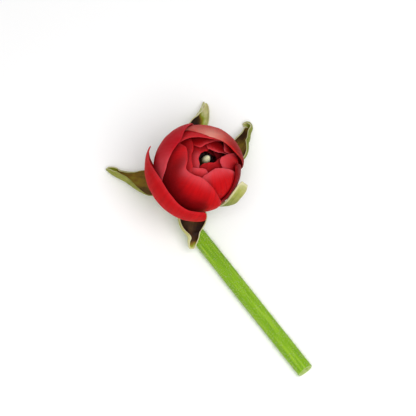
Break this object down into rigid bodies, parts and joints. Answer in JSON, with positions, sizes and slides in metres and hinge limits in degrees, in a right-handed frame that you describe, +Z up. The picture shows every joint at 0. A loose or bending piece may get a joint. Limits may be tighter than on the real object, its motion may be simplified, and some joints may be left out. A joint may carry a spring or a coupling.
{
  "type": "persian buttercup flower",
  "caption": "Picked Persian buttercup lying on its stem: half-open bloom of nested cupped red petals, dark centre, reflexed sepals.",
  "frame": {"origin": "on the surface that the flower lies on, under the middle of its bounding box", "axes": "+Z up from the surface, +Y towards the bloom's back sepal with the stem trailing towards -Y and +X, +X to the right of the picture"},
  "size_m": [0.0872, 0.1236, 0.0487],
  "materials": {
    "petal": "satin petal skin with fine lengthwise veins, paler towards the rim",
    "heart_petal": "satin petal skin, darker red",
    "stem": "matt juicy green skin with fine pale hairs",
    "sepal": "matt leaf skin, brown inside with pale green margins",
    "stamen": "matt near-black maroon",
    "carpel": "matt cream, finely knobbed"
  },
  "bodies": {
    "root": {"petal_outer_left": "petal", "petal_outer_upper_left": "petal", "petal_outer_back": "petal", "petal_front": "petal", "petal_outer_right": "petal", "petal_right": "petal", "petal_mid_back": "petal", "petal_back_right": "petal", "petal_mid_left": "petal", "petal_mid_front": "petal", "petal_mid_right": "petal", "petal_inner_back": "petal", "petal_inner_left": "petal", "petal_inner_front": "petal", "petal_inner_right": "petal", "petals_heart": "heart_petal", "stamens": "stamen", "carpel_head": "carpel", "stem": "stem", "sepal_left": "sepal", "sepal_back": "sepal", "sepal_back_right": "sepal", "sepal_right": "sepal", "sepal_front": "sepal"}
  },
  "joints": []
}
